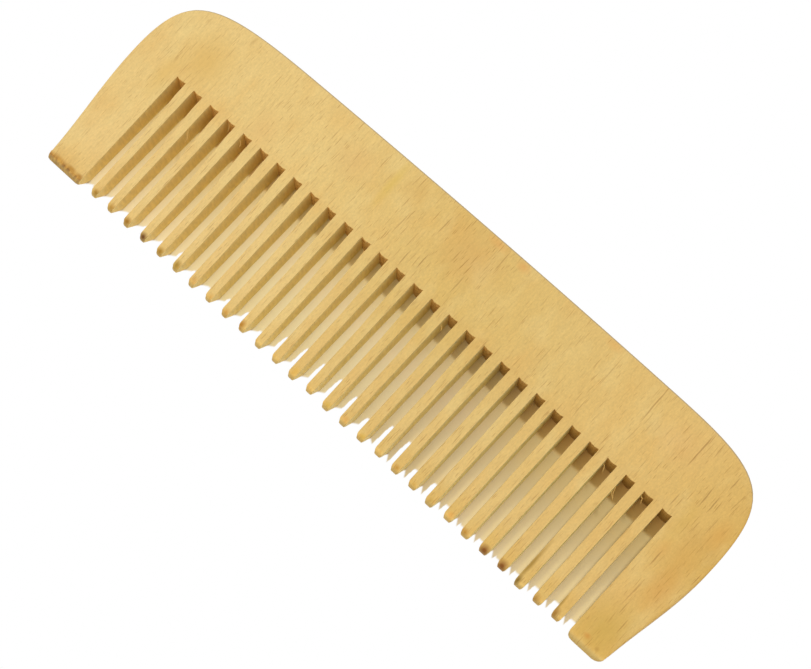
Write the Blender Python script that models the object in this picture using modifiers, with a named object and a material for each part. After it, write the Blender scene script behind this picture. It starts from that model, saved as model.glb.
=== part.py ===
"""Wooden hair comb, sawn from one beech board.

The comb lies flat with its teeth pointing to -Y and its long side along X. The board is a wedge:
its underside is flat, and its upper face slopes down from the thick back to the thin tips. A saw
has cut one kerf after another from the tip side, which leaves the row of teeth between two wide
end guards, all of one piece with the back.
"""
import bmesh
import bpy
from math import cos, pi, radians, sin, tan
from mathutils import Matrix, Vector

MM = 0.001

# Teeth and kerfs
kerf_count = 29
tooth_pitch = 4.47 * MM
kerf_width = 2.26 * MM
tooth_length = 28.2 * MM
root_rise = 0.6 * MM
kerf_ridge = 0.3 * MM
ridge_width_share = 0.3
kerf_lean = radians(5.0)
mouth_flare = 0.25 * MM
mouth_length = 0.7 * MM

# Board
back_thickness = 8.4 * MM
tip_thickness = 4.45 * MM
slope_start = 1.9 * MM
spine_height = 17.7 * MM
shoulder_drop_left = 0.54 * MM
shoulder_drop_right = 0.29 * MM
back_slope_left = 0.02
back_slope_right = 0.015
edge_round = 0.5 * MM

# End guards, measured at their tips, and the rounded ends above them
guard_width_left = 8.75 * MM
guard_width_right = 8.1 * MM
guard_overhang = 0.6 * MM
guard_corner_left = 0.5 * MM
guard_corner_right = 1.5 * MM
inner_corner_left = 0.4 * MM
inner_corner_right = 1.2 * MM
guard_tilt_left = 0.04
guard_tilt_right = 0.13
end_swell_left = 1.9 * MM
end_swell_right = 3.7 * MM
end_swell_drop = 1.2 * MM
shoulder_reach_left = 31.2 * MM
shoulder_reach_right = 24.5 * MM

# Rounded tips. Each rolls over a short way on the upper face, and runs back farther underneath.
tooth_nose_top = 1.2 * MM
guard_nose_top = 1.6 * MM
nose_under = 2.8 * MM
tooth_point_share = 0.65
guard_point_share = 0.75
nose_facets = 4

# How far the handles of the outline's curves run, as shares of the height or width they span
shoulder_up_share = 0.87
shoulder_across_share = 0.8
guard_up_share = 0.35
back_handle_share = 0.33
corner_handle_share = 0.55

# Drawing and cutting
curve_steps = 16
sharp_angle = radians(60)
flat_angle = radians(0.05)
weld_distance = 0.001 * MM
cut_overrun = 3.0 * MM

# Places that follow from the sizes; root_y is where the outermost kerfs end
block_half = ((kerf_count - 1) * tooth_pitch + kerf_width) / 2
left_tip_x = -block_half - guard_width_left
right_tip_x = block_half + guard_width_right
left_wide_x = left_tip_x - end_swell_left
right_wide_x = right_tip_x + end_swell_right
teeth_x = -(left_wide_x + right_wide_x) / 2
guard_length = tooth_length + guard_overhang
root_y = (guard_length - spine_height) / 2
back_y = root_y + spine_height
tooth_tip_y = root_y - tooth_length
guard_tip_y = root_y - guard_length
wide_y = root_y - end_swell_drop
slope_start_y = guard_tip_y + slope_start
face_slope = (back_thickness - tip_thickness) / (back_y - slope_start_y)


def face_height(y):
    """Height of the sloping upper face above the flat underside."""
    return tip_thickness + face_slope * (y - slope_start_y)


def clear_scene():
    """Start from an empty scene, with one collection for the comb and one for its cutters."""
    for item in list(bpy.data.objects):
        bpy.data.objects.remove(item, do_unlink=True)
    groups = []
    for name in ("wooden_comb", "cutters"):
        group = bpy.data.collections.new(name)
        bpy.context.scene.collection.children.link(group)
        groups.append(group)
    return groups


def beech():
    """Pale honey beech, planed and sanded, with no varnish."""
    material = bpy.data.materials.new("beech")
    material.use_nodes = True
    surface = material.node_tree.nodes["Principled BSDF"]
    surface.inputs["Base Color"].default_value = (0.80, 0.56, 0.25, 1.0)
    surface.inputs["Roughness"].default_value = 0.6
    surface.inputs["Metallic"].default_value = 0.0
    return material


def curve_solid(name, curve, depth, group):
    """Turn a filled flat curve into a closed mesh of the given depth, standing on its own plane."""
    curve.dimensions = "2D"
    curve.fill_mode = "BOTH"
    curve.extrude = depth / 2
    drawing = bpy.data.objects.new(name + "_drawing", curve)
    group.objects.link(drawing)
    bpy.context.view_layer.update()
    mesh = bpy.data.meshes.new_from_object(drawing.evaluated_get(bpy.context.evaluated_depsgraph_get()))
    bpy.data.objects.remove(drawing, do_unlink=True)
    mesh.transform(Matrix.Translation((0, 0, depth / 2)))
    shape = bmesh.new()
    shape.from_mesh(mesh)
    bmesh.ops.remove_doubles(shape, verts=shape.verts, dist=weld_distance)
    bmesh.ops.dissolve_limit(shape, angle_limit=flat_angle, verts=shape.verts, edges=shape.edges)
    bmesh.ops.recalc_face_normals(shape, faces=shape.faces)
    shape.to_mesh(mesh)
    shape.free()
    mesh.name = name
    solid = bpy.data.objects.new(name, mesh)
    group.objects.link(solid)
    return solid


def polygon_curve(name, loops):
    """Flat curve of straight-sided closed loops."""
    curve = bpy.data.curves.new(name, "CURVE")
    for loop in loops:
        spline = curve.splines.new("POLY")
        spline.points.add(len(loop) - 1)
        for point, (x, y) in zip(spline.points, loop):
            point.co = (x, y, 0, 1)
        spline.use_cyclic_u = True
    return curve


def outline_curve():
    """Outline of the whole board: arched back, round shoulders, tapering guards, flat tip line."""
    left_back = Vector((left_wide_x + shoulder_reach_left, back_y - shoulder_drop_left))
    right_back = Vector((right_wide_x - shoulder_reach_right, back_y - shoulder_drop_right))
    left_wide = Vector((left_wide_x, wide_y))
    right_wide = Vector((right_wide_x, wide_y))
    back_run = (right_back.x - left_back.x) * back_handle_share
    guard_run = (wide_y - guard_tip_y) * guard_up_share
    left_slope = Vector((-guard_tilt_left, 1))
    right_slope = Vector((guard_tilt_right, 1))
    left_corner = Vector((left_tip_x, guard_tip_y))
    right_corner = Vector((right_tip_x, guard_tip_y))
    along = Vector((1, 0))
    left_end = left_corner + left_slope * guard_corner_left
    left_foot = left_corner + along * guard_corner_left
    right_foot = right_corner - along * guard_corner_right
    right_end = right_corner + right_slope * guard_corner_right
    left_pull = guard_corner_left * corner_handle_share
    right_pull = guard_corner_right * corner_handle_share
    left_rise = (left_back.y - wide_y) * shoulder_up_share
    right_rise = (right_back.y - wide_y) * shoulder_up_share
    left_across = shoulder_reach_left * shoulder_across_share
    right_across = shoulder_reach_right * shoulder_across_share
    left_back_way = Vector((1, back_slope_left))
    right_back_way = Vector((-1, back_slope_right))
    up = Vector((0, 1))
    # each corner of the outline: place, handle before it, handle after it
    stations = [
        (left_foot, left_foot, left_foot - along * left_pull),
        (left_end, left_end - left_slope * left_pull, left_end + left_slope * guard_run),
        (left_wide, left_wide - up * guard_run, left_wide + up * left_rise),
        (left_back, left_back - left_back_way * left_across, left_back + left_back_way * back_run),
        (right_back, right_back + right_back_way * back_run, right_back - right_back_way * right_across),
        (right_wide, right_wide + up * right_rise, right_wide - up * guard_run),
        (right_end, right_end + right_slope * guard_run, right_end - right_slope * right_pull),
        (right_foot, right_foot + along * right_pull, right_foot),
    ]
    curve = bpy.data.curves.new("board_outline", "CURVE")
    curve.resolution_u = curve_steps
    spline = curve.splines.new("BEZIER")
    spline.bezier_points.add(len(stations) - 1)
    for point, (place, before, after) in zip(spline.bezier_points, stations):
        point.handle_left_type = "FREE"
        point.handle_right_type = "FREE"
        point.co = (place.x, place.y, 0)
        point.handle_left = (before.x, before.y, 0)
        point.handle_right = (after.x, after.y, 0)
    spline.use_cyclic_u = True
    return curve


def turn_profile(solid, start_x):
    """Stand a profile drawn as (y, z) upright, so that its depth runs along X from start_x."""
    solid.data.transform(Matrix(((0, 0, 1, start_x), (1, 0, 0, 0), (0, 1, 0, 0), (0, 0, 0, 1))))


def slope_cutter(group):
    """Everything above the sloping upper face."""
    near = guard_tip_y - cut_overrun
    far = back_y + cut_overrun
    top = face_height(far) + cut_overrun
    loop = [(near, face_height(near)), (far, face_height(far)), (far, top), (near, top)]
    length = right_wide_x - left_wide_x + 2 * cut_overrun
    solid = curve_solid("slope_cutter", polygon_curve("slope_profile", [loop]), length, group)
    turn_profile(solid, left_wide_x - cut_overrun)
    return solid


def kerf_side(root, flare, length, tip_y):
    """One side of a kerf from its end to past the tips, opened at tip_y by the corner beside it."""
    half = kerf_width / 2
    mouth = half + flare
    end_y = guard_tip_y - cut_overrun
    return [(half * ridge_width_share, root - kerf_ridge), (half, root), (half, tip_y + length),
            (mouth, tip_y), (mouth, end_y)]


def kerf_loop(index):
    """Outline of one kerf: fish-tail end, parallel sides and open mouth."""
    middle = (index - (kerf_count - 1) / 2) * tooth_pitch
    share = middle / block_half
    root = root_y + root_rise * (1 - share * share)
    left_side = kerf_side(root, mouth_flare, mouth_length, tooth_tip_y)
    right_side = kerf_side(root, mouth_flare, mouth_length, tooth_tip_y)
    if index == 0:
        left_side = kerf_side(root, inner_corner_left, inner_corner_left, guard_tip_y)
    if index == kerf_count - 1:
        right_side = kerf_side(root, inner_corner_right, inner_corner_right, guard_tip_y)
    return [(middle + x, y) for x, y in right_side] + [(middle - x, y) for x, y in reversed(left_side)]


def kerf_cutter(group):
    """All kerfs as one cutter, leaning so that each runs deeper at the upper face."""
    loops = [kerf_loop(index) for index in range(kerf_count)]
    depth = back_thickness + 2 * cut_overrun
    solid = curve_solid("kerf_cutter", polygon_curve("kerf_outline", loops), depth, group)
    lean = tan(kerf_lean)
    shear = Matrix(((1, 0, 0, 0), (0, 1, lean, -lean * face_height(root_y)), (0, 0, 1, 0), (0, 0, 0, 1)))
    solid.data.transform(shear @ Matrix.Translation((0, 0, -cut_overrun)))
    return solid


def nose_cutter(name, start_x, end_x, tip_y, nose_top, point_share, group):
    """Trim the stretch from start_x to end_x to a rounded edge. Its profile is a quarter ellipse under
    the foremost point, which lies at tip_y, and a shorter one above it."""
    top_y = tip_y + nose_top
    under_y = tip_y + nose_under
    height = face_height(top_y)
    point = height * point_share
    near = guard_tip_y - cut_overrun
    high = height + cut_overrun
    loop = [(top_y, high), (near, high), (near, -cut_overrun), (under_y, -cut_overrun)]
    for step in range(nose_facets):
        angle = pi / 2 * step / nose_facets
        loop.append((under_y - nose_under * sin(angle), point * (1 - cos(angle))))
    for step in range(nose_facets + 1):
        angle = pi / 2 * step / nose_facets
        loop.append((top_y - nose_top * cos(angle), point + (height - point) * sin(angle)))
    solid = curve_solid(name, polygon_curve(name + "_profile", [loop]), end_x - start_x, group)
    turn_profile(solid, start_x)
    return solid


def cut(solid, cutter):
    """Take the cutter away from the solid and keep it only as a wire guide."""
    cutter.hide_render = True
    cutter.display_type = "WIRE"
    modifier = solid.modifiers.new(cutter.name, "BOOLEAN")
    modifier.operation = "DIFFERENCE"
    modifier.object = cutter


def comb(group, cutters):
    """Board, sloped and eased, then sawn and rounded at the tips."""
    board = curve_solid("comb", outline_curve(), face_height(back_y) + cut_overrun, group)
    cut(board, slope_cutter(cutters))
    easing = board.modifiers.new("edge_round", "BEVEL")
    easing.width = edge_round
    easing.segments = 2
    easing.limit_method = "ANGLE"
    easing.angle_limit = sharp_angle
    easing.use_clamp_overlap = False
    cut(board, kerf_cutter(cutters))
    left_end = left_wide_x - cut_overrun
    right_end = right_wide_x + cut_overrun
    left_cut = kerf_width / 2 - block_half
    right_cut = block_half - kerf_width / 2
    cut(board, nose_cutter("left_guard_nose", left_end, left_cut, guard_tip_y, guard_nose_top,
                           guard_point_share, cutters))
    cut(board, nose_cutter("tooth_nose", left_cut, right_cut, tooth_tip_y, tooth_nose_top,
                           tooth_point_share, cutters))
    cut(board, nose_cutter("right_guard_nose", right_cut, right_end, guard_tip_y, guard_nose_top,
                           guard_point_share, cutters))
    board.data.materials.append(beech())
    return board


def main():
    group, cutters = clear_scene()
    comb(group, cutters)
    for item in list(group.objects) + list(cutters.objects):
        item.location.x = teeth_x


main()
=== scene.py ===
"""Wooden hair comb on a white table.

The comb is one board of beech. Its flat underside lies on the table, its upper face slopes down from
the thick back to the thin tips, and a saw has cut the kerfs that leave the teeth. Lengths are in
millimetres until a mesh is made. X runs along the comb, Y from the tips to the back, Z up.
"""
import bpy
import numpy as np
from functools import partial
from math import radians
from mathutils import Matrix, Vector
from types import SimpleNamespace


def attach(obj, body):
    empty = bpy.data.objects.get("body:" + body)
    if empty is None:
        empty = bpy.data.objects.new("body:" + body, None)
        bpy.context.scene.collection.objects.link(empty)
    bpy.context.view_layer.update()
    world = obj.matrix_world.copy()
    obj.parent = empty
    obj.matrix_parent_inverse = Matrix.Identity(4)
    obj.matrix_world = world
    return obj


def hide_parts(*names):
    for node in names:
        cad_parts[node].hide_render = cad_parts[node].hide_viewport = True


MM = 0.001

# Teeth and kerfs
KERF_COUNT = 29
TOOTH_PITCH = 4.47
KERF_WIDTH = 2.26
TOOTH_LENGTH = 28.2
ROOT_RISE = 0.6
KERF_RIDGE = 0.2
KERF_LEAN = radians(5.0)

# Board
BACK_THICKNESS = 8.4
TIP_THICKNESS = 4.45
SLOPE_START = 1.9
SPINE_HEIGHT = 17.7
SHOULDER_DROP_LEFT = 0.541
SHOULDER_DROP_RIGHT = 0.291
BACK_SLOPE_LEFT = 0.02
BACK_SLOPE_RIGHT = 0.015

# End guards, measured at their tips, and the rounded ends above them. The outline starts a little in
# from the left tip, and each side's curve starts this far up from the tip line
GUARD_WIDTH_LEFT = 8.75
GUARD_WIDTH_RIGHT = 8.1
GUARD_OVERHANG = 0.6
GUARD_TILT_LEFT = 0.04
GUARD_TILT_RIGHT = 0.13
GUARD_INSET_LEFT = 0.2
CURVE_START_LEFT = 0.8
CURVE_START_RIGHT = 1.6
END_SWELL_LEFT = 1.9
END_SWELL_RIGHT = 3.7
END_SWELL_DROP = 1.2
SHOULDER_REACH_LEFT = 31.2
SHOULDER_REACH_RIGHT = 24.5

# How far the handles of the outline's curves run, as shares of the height or width that they span
SHOULDER_UP_SHARE = 0.87
SHOULDER_ACROSS_SHARE = 0.8
GUARD_UP_SHARE = 0.35
BACK_HANDLE_SHARE = 0.33

# Rounded tips: reach of the roll on the upper face and underneath, and the foremost point's place on a
# scale from -1 at the underside to 1 at the upper face
TOOTH_NOSE = 1.2
GUARD_NOSE = 1.6
UNDER_NOSE = 2.8
TOOTH_POINT = 0.3
GUARD_POINT = 0.5
# Underneath, the roll is part curve and, by this share, straight bevel
UNDER_BEVEL_SHARE = 0.6

# Eased edges: width of the ease on the rim, and the height of the board that can take all of it
RIM_EASE = 0.52
EASE_HEIGHT = 6
# The kerfs' edges get a share of that width, and another share towards the tips: all of it up to the
# first place along Y, none past the second. Both fade to nothing between two distances from the tips
KERF_EASE_SHARE = 0.17
TIP_EASE_SHARE = 0.25
TIP_EASE_Y = (-18, -8)
TIP_CLEAR = (0.9, 2.7)
SHARP_ANGLE = radians(38)

# Marks of this one comb. The saw drifted along X from kerf to kerf: numbers of kerfs, and the drift at
# their ends
DRIFT_KERFS = [0, 7, 10, 17, 24, 28]
DRIFTS = [0, -0.04, 0, 0.25, 0.04, 0.16]
# How far along Y the teeth's tips stand off their line, with their scatter, and the left guard's tip
TIP_SHIFT = -0.02
TIP_SCATTER = 0.1
GUARD_SHIFT_LEFT = 0.16
# Wear on the left side of the teeth in the middle of the comb, how much less it gets with each
# millimetre to the right, and its limits
WEAR = 0.35
WEAR_FADE = 0.0068
WEAR_LIMITS = (0.12, 0.6)
# The wear fades out between these shares of a tooth's length
WEAR_END_SHARES = (0.55, 0.9)
# The foot of each kerf's left wall is cut this far under the tooth
UNDERCUT = 0.15

# Grid of the board: its layers from the underside at -1 to the upper face at 1, its rows by their
# distance from the tips, and its rows from the kerf ends at 0 to the back at 1
LAYERS = np.array([-1, -0.78, -0.55, -0.25, 0.05, TOOTH_POINT, GUARD_POINT, 0.64, 0.78, 1])
NEAR_TIP = np.array([0, 0.12, 0.3, 0.55, 0.85, 1.2, 1.6, 2.1, 2.8])
TOOTH_ROWS = np.concatenate([NEAR_TIP, np.linspace(3.6, TOOTH_LENGTH, 32)]) / TOOTH_LENGTH
SPINE_ROWS = np.linspace(0, 1, 11)[1:]
# Its columns, from -1 at the left side of a tooth, guard or kerf to 1 at its right side
ACROSS_TOOTH = np.array([-1, -0.7, -0.35, 0, 0.35, 0.7, 1])
ACROSS_GUARD = np.array([-1, -0.84, -0.6, -0.3, 0, 0.3, 0.6, 0.84, 1])
ACROSS_KERF = np.array([-0.35, 0, 0.35])
# Rough lengths of the back and of a side above the kerf ends, and how far the upper corners' rounding
# reaches into the board
BACK_RUN = 140
SIDE_RUN = 25
CORNER_FADE = 12
# The bow of a side's line fades away into the board with this power
BOW_POWER = 12

# Places that follow from the sizes; ROOT_Y is where the outermost kerfs end
KERF_MIDDLES = (np.arange(KERF_COUNT) - (KERF_COUNT - 1) / 2) * TOOTH_PITCH
BLOCK_HALF = ((KERF_COUNT - 1) * TOOTH_PITCH + KERF_WIDTH) / 2
LEFT_TIP_X = -BLOCK_HALF - GUARD_WIDTH_LEFT
RIGHT_TIP_X = BLOCK_HALF + GUARD_WIDTH_RIGHT
LEFT_WIDE_X = LEFT_TIP_X - END_SWELL_LEFT
RIGHT_WIDE_X = RIGHT_TIP_X + END_SWELL_RIGHT
TEETH_X = -(LEFT_WIDE_X + RIGHT_WIDE_X) / 2
ROOT_Y = (TOOTH_LENGTH + GUARD_OVERHANG - SPINE_HEIGHT) / 2
BACK_Y = ROOT_Y + SPINE_HEIGHT
TOOTH_TIP_Y = ROOT_Y - TOOTH_LENGTH
GUARD_TIP_Y = TOOTH_TIP_Y - GUARD_OVERHANG
WIDE_Y = ROOT_Y - END_SWELL_DROP
SLOPE_START_Y = GUARD_TIP_Y + SLOPE_START
FACE_SLOPE = (BACK_THICKNESS - TIP_THICKNESS) / (BACK_Y - SLOPE_START_Y)

# Torn fibres in the kerfs: radius, and points along each
FIBRES = [
    (0.07, [(-55.5, 0, 6.0), (-55.1, -0.9, 6.0), (-54.8, -1.5, 5.8), (-54.2, -2.2, 5.4), (-54.1, -3.2, 5.2)]),
    (0.05, [(-55.4, -1.2, 5.6), (-54.8, -1.8, 5.4), (-54.4, -3.0, 5.0)]),
    (0.07, [(-50.8, 5.3, 6.2), (-50.3, 5.4, 6.1), (-49.8, 5.1, 5.9), (-49.4, 4.4, 5.7), (-49.4, 4.0, 5.6)]),
    (0.06, [(-46.2, 4.4, 6.2), (-45.8, 4.2, 6.0), (-45.5, 3.7, 5.8), (-45.5, 3.2, 5.6)]),
    (0.07, [(-13.3, 4.6, 6.2), (-12.9, 4.0, 6.0), (-13.1, 3.4, 5.8), (-12.9, 2.8, 5.7)]),
    (0.07, [(7.6, 3.7, 6.2), (8.0, 3.5, 6.0), (8.3, 3.0, 5.8), (8.1, 2.7, 5.7)]),
    (0.08, [(47.6, 4.3, 6.2), (47.9, 4.5, 6.2), (48.2, 4.1, 6.0), (48.3, 3.6, 5.8), (48.6, 3.2, 5.6)]),
    (0.08, [(51.9, 3.2, 6.0), (52.3, 2.4, 5.9), (52.5, 1.6, 5.7), (53.0, 1.0, 5.5), (53.2, 0.7, 5.4)]),
    (0.06, [(52.0, 2.2, 6.0), (52.3, 1.4, 5.9), (52.9, 0.9, 5.6)]),
    (0.08, [(56.6, 4.9, 6.2), (56.8, 4.4, 6.2), (57.1, 4.6, 6.1), (57.2, 4.2, 5.9), (57.5, 3.5, 5.7)]),
]


def face_height(y):
    """Height of the sloping upper face: a straight line from the tips to the back."""
    return TIP_THICKNESS + FACE_SLOPE * (y - SLOPE_START_Y)


def bezier(a, b, c, d, count=120):
    """Cubic curve: the four points weighed by (1-t)^3, 3(1-t)^2 t, 3(1-t) t^2 and t^3."""
    t = np.linspace(0, 1, count)[:, None]
    a, b, c, d = (np.array(point, float) for point in (a, b, c, d))
    return (1 - t) ** 3 * a + 3 * (1 - t) ** 2 * t * b + 3 * (1 - t) * t ** 2 * c + t ** 3 * d


def board_outline():
    """Outline from the left guard's tip over the back to the right guard's tip, as one line of points:
    the guard's side, the shoulder, the back, the other shoulder and the other guard's side."""
    left_wide = (LEFT_WIDE_X, WIDE_Y)
    right_wide = (RIGHT_WIDE_X, WIDE_Y)
    left_back = (LEFT_WIDE_X + SHOULDER_REACH_LEFT, BACK_Y - SHOULDER_DROP_LEFT)
    right_back = (RIGHT_WIDE_X - SHOULDER_REACH_RIGHT, BACK_Y - SHOULDER_DROP_RIGHT)
    left_start = LEFT_TIP_X + GUARD_INSET_LEFT
    left_end = (left_start - GUARD_TILT_LEFT * CURVE_START_LEFT, GUARD_TIP_Y + CURVE_START_LEFT)
    right_end = (RIGHT_TIP_X + GUARD_TILT_RIGHT * CURVE_START_RIGHT, GUARD_TIP_Y + CURVE_START_RIGHT)
    guard_run = (WIDE_Y - GUARD_TIP_Y) * GUARD_UP_SHARE
    back_run = (right_back[0] - left_back[0]) * BACK_HANDLE_SHARE
    left_rise = (left_back[1] - WIDE_Y) * SHOULDER_UP_SHARE
    right_rise = (right_back[1] - WIDE_Y) * SHOULDER_UP_SHARE
    left_run = SHOULDER_REACH_LEFT * SHOULDER_ACROSS_SHARE
    right_run = SHOULDER_REACH_RIGHT * SHOULDER_ACROSS_SHARE
    pieces = [
        np.array([(left_start, GUARD_TIP_Y)]),
        bezier(left_end, (left_end[0] - GUARD_TILT_LEFT * guard_run, left_end[1] + guard_run),
               (LEFT_WIDE_X, WIDE_Y - guard_run), left_wide),
        bezier(left_wide, (LEFT_WIDE_X, WIDE_Y + left_rise),
               (left_back[0] - left_run, left_back[1] - BACK_SLOPE_LEFT * left_run), left_back)[1:],
        bezier(left_back, (left_back[0] + back_run, left_back[1] + BACK_SLOPE_LEFT * back_run),
               (right_back[0] - back_run, right_back[1] + BACK_SLOPE_RIGHT * back_run), right_back)[1:],
        bezier(right_back, (right_back[0] + right_run, right_back[1] - BACK_SLOPE_RIGHT * right_run),
               (RIGHT_WIDE_X, WIDE_Y + right_rise), right_wide)[1:],
        bezier(right_wide, (RIGHT_WIDE_X, WIDE_Y - guard_run),
               (right_end[0] + GUARD_TILT_RIGHT * guard_run, right_end[1] + guard_run), right_end)[1:],
        np.array([(RIGHT_TIP_X, GUARD_TIP_Y)]),
    ]
    return np.concatenate(pieces)


def outline_parts():
    """The outline cut at its two upper corners, where it is as steep as it is flat: the left side from
    its tip upwards, the back from left to right, and the right side from its tip upwards."""
    outline = board_outline()
    turn = np.diff(outline, axis=0)
    rising = turn[:, 1] > np.abs(turn[:, 0])
    falling = -turn[:, 1] > np.abs(turn[:, 0])
    upper = outline[:-1, 1] > WIDE_Y
    left_corner = np.argmax(~rising & upper)
    right_corner = np.argmax(falling & upper & (outline[:-1, 0] > 0))
    return outline[:left_corner + 1], outline[left_corner:right_corner + 1], outline[right_corner:][::-1]


def along(line, shares):
    """Points at the given shares of a line's length."""
    steps = np.hypot(*np.diff(line, axis=0).T)
    run = np.concatenate([[0], np.cumsum(steps)]) / steps.sum()
    return np.stack([np.interp(shares, run, line[:, 0]), np.interp(shares, run, line[:, 1])], -1)


def rounded(u, v, bevel=0.0):
    """Square corner to round corner: (u, v) goes to (u sqrt(1 - v^2/2), v sqrt(1 - u^2/2)), where u and
    v grow from 0 inside to 1 at the two sides, so the corner lands halfway round the curve. A straight
    bevel, (u (1 - v/2), v (1 - u/2)), is mixed in."""
    curve_u, curve_v = u * np.sqrt(1 - v * v / 2), v * np.sqrt(1 - u * u / 2)
    return (curve_u + bevel * (u * (1 - v / 2) - curve_u), curve_v + bevel * (v * (1 - u / 2) - curve_v))


def columns():
    """Stations across the comb. Each has its x, its place across its tooth or guard from -1 to 1, and
    its block: 0 for the left guard, 1 to 28 for the teeth, 29 for the right guard, -1 inside a kerf."""
    x, place, block = [], [], []
    for index, middle in enumerate(KERF_MIDDLES):
        left_side = middle - KERF_WIDTH / 2
        across = ACROSS_GUARD if index == 0 else ACROSS_TOOTH
        width = GUARD_WIDTH_LEFT if index == 0 else TOOTH_PITCH - KERF_WIDTH
        x += list(left_side - width * (1 - across) / 2) + list(middle + ACROSS_KERF * KERF_WIDTH / 2)
        place += list(across) + list(ACROSS_KERF)
        block += [index] * len(across) + [-1] * len(ACROSS_KERF)
    x += list(BLOCK_HALF + GUARD_WIDTH_RIGHT * (1 + ACROSS_GUARD) / 2)
    place += list(ACROSS_GUARD)
    block += [KERF_COUNT] * len(ACROSS_GUARD)
    return np.array(x), np.array(place), np.array(block)


def tip_and_root(x, place, block):
    """Where each station starts and ends along Y. The kerf ends stand on an arch, ROOT_RISE (1 - x^2)
    with x from -1 to 1 over the kerfs, and each has a low ridge, flat over its middle third. The teeth
    are cut off at slightly different lengths."""
    guard = (block == 0) | (block == KERF_COUNT)
    arch = ROOT_Y + ROOT_RISE * (1 - (x / BLOCK_HALF) ** 2)
    ridge = np.where(block < 0, KERF_RIDGE * np.clip(1.5 - 1.5 * np.abs(place), 0, 1), 0)
    root = np.where(guard, ROOT_Y, arch) - ridge
    rng = np.random.default_rng(28)
    shift = rng.normal(TIP_SHIFT, TIP_SCATTER, KERF_COUNT + 1)
    shift[[0, KERF_COUNT]] = (GUARD_SHIFT_LEFT, 0)
    tip = np.where(guard, GUARD_TIP_Y, TOOTH_TIP_Y) + np.where(block < 0, 0, shift[block])
    return tip, root


def tip_corners(index):
    """The left and the right corner of a tip, seen from above: how far each is rounded across the tip
    and along the tooth. The teeth's left corners are worn, less so towards the right."""
    if index == 0:
        return (0.35, 0.35), (0.45, 0.45)
    if index == KERF_COUNT:
        return (1.4, 1.4), (1.8, 1.3)
    return (0.45, 2.1 - 0.035 * index), (0.35, 1.1)


def teeth_from_above(x, place, block, tip, root, left_line, right_line):
    """Rows of the teeth and guards in plan, from the tips to the kerf ends. They follow the drift of
    the saw, which grows with the square of the kerf's depth. The wear on the teeth's left sides fades
    out before the kerf ends. The guards spread to the outline, and all corners are rounded."""
    share = TOOTH_ROWS[:, None]
    y = tip + (root - tip) * share
    kerf_drift = np.interp(np.arange(KERF_COUNT), DRIFT_KERFS, DRIFTS)
    drift = np.interp(x, [x[0], *KERF_MIDDLES, x[-1]], [0, *kerf_drift, 0]) * share ** 2
    kerf_before = np.clip(block - 1, 0, KERF_COUNT - 1)
    wear = np.clip(WEAR - WEAR_FADE * KERF_MIDDLES[kerf_before], *WEAR_LIMITS)
    wear = np.where(block > 0, wear * (1 - place) / 2, 0) * np.interp(share, WEAR_END_SHARES, (1, 0))
    plan_x = x + drift + wear
    guards = ((0, left_line, LEFT_TIP_X, -1), (KERF_COUNT, right_line, RIGHT_TIP_X, 1))
    for index, line, straight_x, way in guards:
        guard = block == index
        reach = np.interp(y[:, guard], line[:, 1], line[:, 0])
        plan_x[:, guard] += (reach - straight_x) * (1 + way * place[guard]) / 2
    round_tips(plan_x, y, tip, block)
    return plan_x, y


def round_tips(plan_x, y, tip, block):
    """Moves the points of every tip's two corners, seen from above, from square to round."""
    for index in range(KERF_COUNT + 1):
        tooth = block == index
        left, right = plan_x[:, tooth][:, :1], plan_x[:, tooth][:, -1:]
        if index == KERF_COUNT:
            # the right guard's inner corner is rounded from its unworn side
            left = BLOCK_HALF
        for side, way, (across, lengthwise) in zip((left, right), (1, -1), tip_corners(index)):
            u = np.clip(1 - (plan_x[:, tooth] - side) * way / across, 0, 1)
            v = np.clip(1 - (y[:, tooth] - tip[tooth]) / lengthwise, 0, 1)
            round_u, round_v = rounded(u, v)
            plan_x[:, tooth] += way * across * (u - round_u)
            y[:, tooth] += lengthwise * (v - round_v)


def teeth_in_layers(plan_x, y, place, block, tip, root):
    """The rows of the teeth in every layer. The kerf ends lean, so the lower layers reach less far, and
    the left walls of the kerfs are undercut. At the tips the layers close to an edge, with a roll that
    runs back farther underneath."""
    level = LAYERS[:, None, None]
    height = (level + 1) / 2
    y = y + np.tan(KERF_LEAN) * (height - 1) * face_height(root) * TOOTH_ROWS[:, None]
    under = np.where((block >= 0) & (block < KERF_COUNT), UNDERCUT * (1 + place) / 2, 0)
    x = plan_x - under * (1 - height)
    z = height * face_height(y)
    guard = (block == 0) | (block == KERF_COUNT)
    point = np.where(guard, GUARD_POINT, TOOTH_POINT)
    over = level >= point
    nose = np.where(over, np.where(guard, GUARD_NOSE, TOOTH_NOSE), UNDER_NOSE)
    room = np.where(over, 1 - point, 1 + point)
    start = tip + nose
    reach = np.clip((start - y) / nose, 0, 1)
    rise = np.abs(level - point) / room * np.ones_like(reach)
    round_reach, round_rise = rounded(reach, rise, np.where(over, 0, UNDER_BEVEL_SHARE))
    in_nose = reach > 0
    y = np.where(in_nose, start - nose * round_reach, y)
    level = point + np.where(over, room, -room) * round_rise
    z = np.where(in_nose, (1 + level) / 2 * face_height(y), z)
    return np.stack([x, y, z], -1)


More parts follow.
